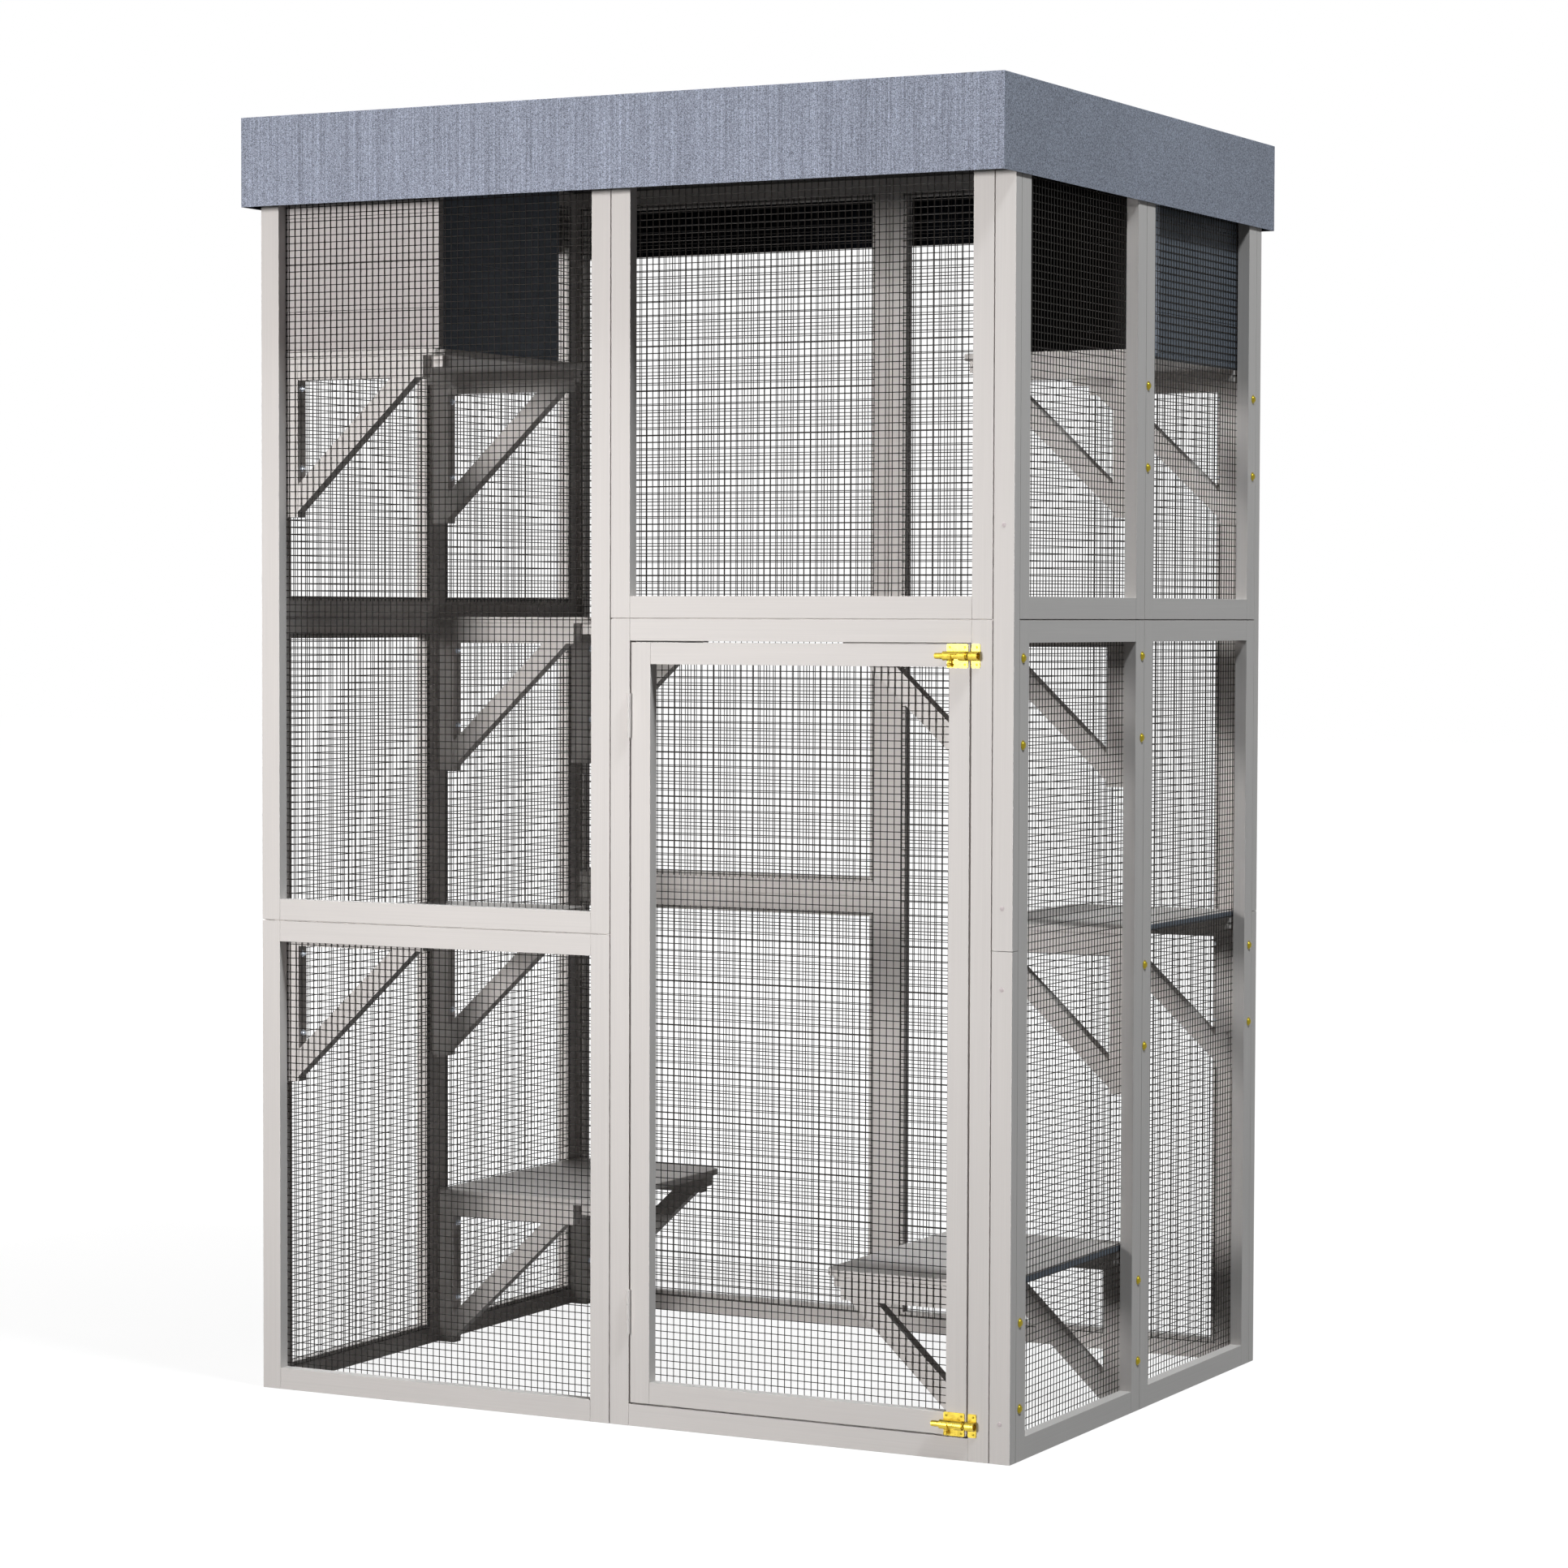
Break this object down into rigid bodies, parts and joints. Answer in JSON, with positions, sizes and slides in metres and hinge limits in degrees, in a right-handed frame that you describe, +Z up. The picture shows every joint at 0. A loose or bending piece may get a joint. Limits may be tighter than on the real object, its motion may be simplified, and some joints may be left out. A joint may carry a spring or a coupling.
{
  "type": "outdoor cat enclosure",
  "caption": "Tall outdoor cat enclosure of painted timber frames and black wire netting, with a flat roof, a hinged door with barrel bolts, bracketed platforms and nest boxes.",
  "frame": {"origin": "on the ground, under the centre of the roof", "axes": "+Z up; -Y is the front with the door; +X is to the right seen from the front"},
  "size_m": [1.176, 0.965, 1.8],
  "materials": {
    "paint": "warm light grey satin paint on planed timber",
    "black_wire": "black coated welded wire",
    "roof_cloth": "blue-grey woven weatherproof cloth facing",
    "deck_board": "plain board, hidden under the cover",
    "brass": "bright yellow brass plating"
  },
  "bodies": {
    "enclosure": {"back_left_lower_frame": "paint", "back_left_upper_frame": "paint", "back_post": "paint", "back_right_lower_frame": "paint", "back_right_upper_frame": "paint", "board_left_high": "paint", "board_left_low": "paint", "board_left_middle": "paint", "board_left_top": "paint", "board_right_high": "paint", "board_right_low": "paint", "board_right_middle": "paint", "board_right_top": "paint", "bracket_left_high_end": "paint", "bracket_left_high_mid": "paint", "bracket_left_low_end": "paint", "bracket_left_low_mid": "paint", "bracket_left_middle_end": "paint", "bracket_left_middle_mid": "paint", "bracket_left_top_end": "paint", "bracket_left_top_mid": "paint", "bracket_right_high_end": "paint", "bracket_right_high_mid": "paint", "bracket_right_low_end": "paint", "bracket_right_low_mid": "paint", "bracket_right_middle_end": "paint", "bracket_right_middle_mid": "paint", "bracket_right_top_end": "paint", "bracket_right_top_mid": "paint", "door_surround": "paint", "front_left_lower_frame": "paint", "front_left_upper_frame": "paint", "front_post_lower": "paint", "front_post_upper": "paint", "front_right_upper_frame": "paint", "left_lower_frame": "paint", "left_upper_frame": "paint", "lower_hinge_leaf": "paint", "lower_keeper": "brass", "nest_left": "paint", "nest_right": "paint", "net_back": "black_wire", "net_front_left": "black_wire", "net_front_right": "black_wire", "net_left_back": "black_wire", "net_left_front": "black_wire", "net_right_back": "black_wire", "net_right_front": "black_wire", "right_lower_frame": "paint", "right_upper_frame": "paint", "roof_cover": "roof_cloth", "roof_deck": "deck_board", "upper_hinge_leaf": "paint", "upper_keeper": "brass"},
    "door": {"door_frame": "paint", "net_door": "black_wire", "upper_bolt_body": "brass", "lower_bolt_body": "brass"},
    "upper_bolt": {"upper_bolt_slide": "brass"},
    "lower_bolt": {"lower_bolt_slide": "brass"}
  },
  "joints": [
    {"name": "door_hinge", "type": "hinge", "parent": "enclosure", "child": "door", "pos_m": [0.01595, -0.4413, 0.55], "axis": [0, 0, -1], "range_deg": [0, 110]},
    {"name": "upper_bolt_travel", "type": "slide", "parent": "door", "child": "upper_bolt", "axis": [1, 0, 0], "range_m": [0, 0.0125]},
    {"name": "lower_bolt_travel", "type": "slide", "parent": "door", "child": "lower_bolt", "axis": [1, 0, 0], "range_m": [0, 0.0125]}
  ]
}
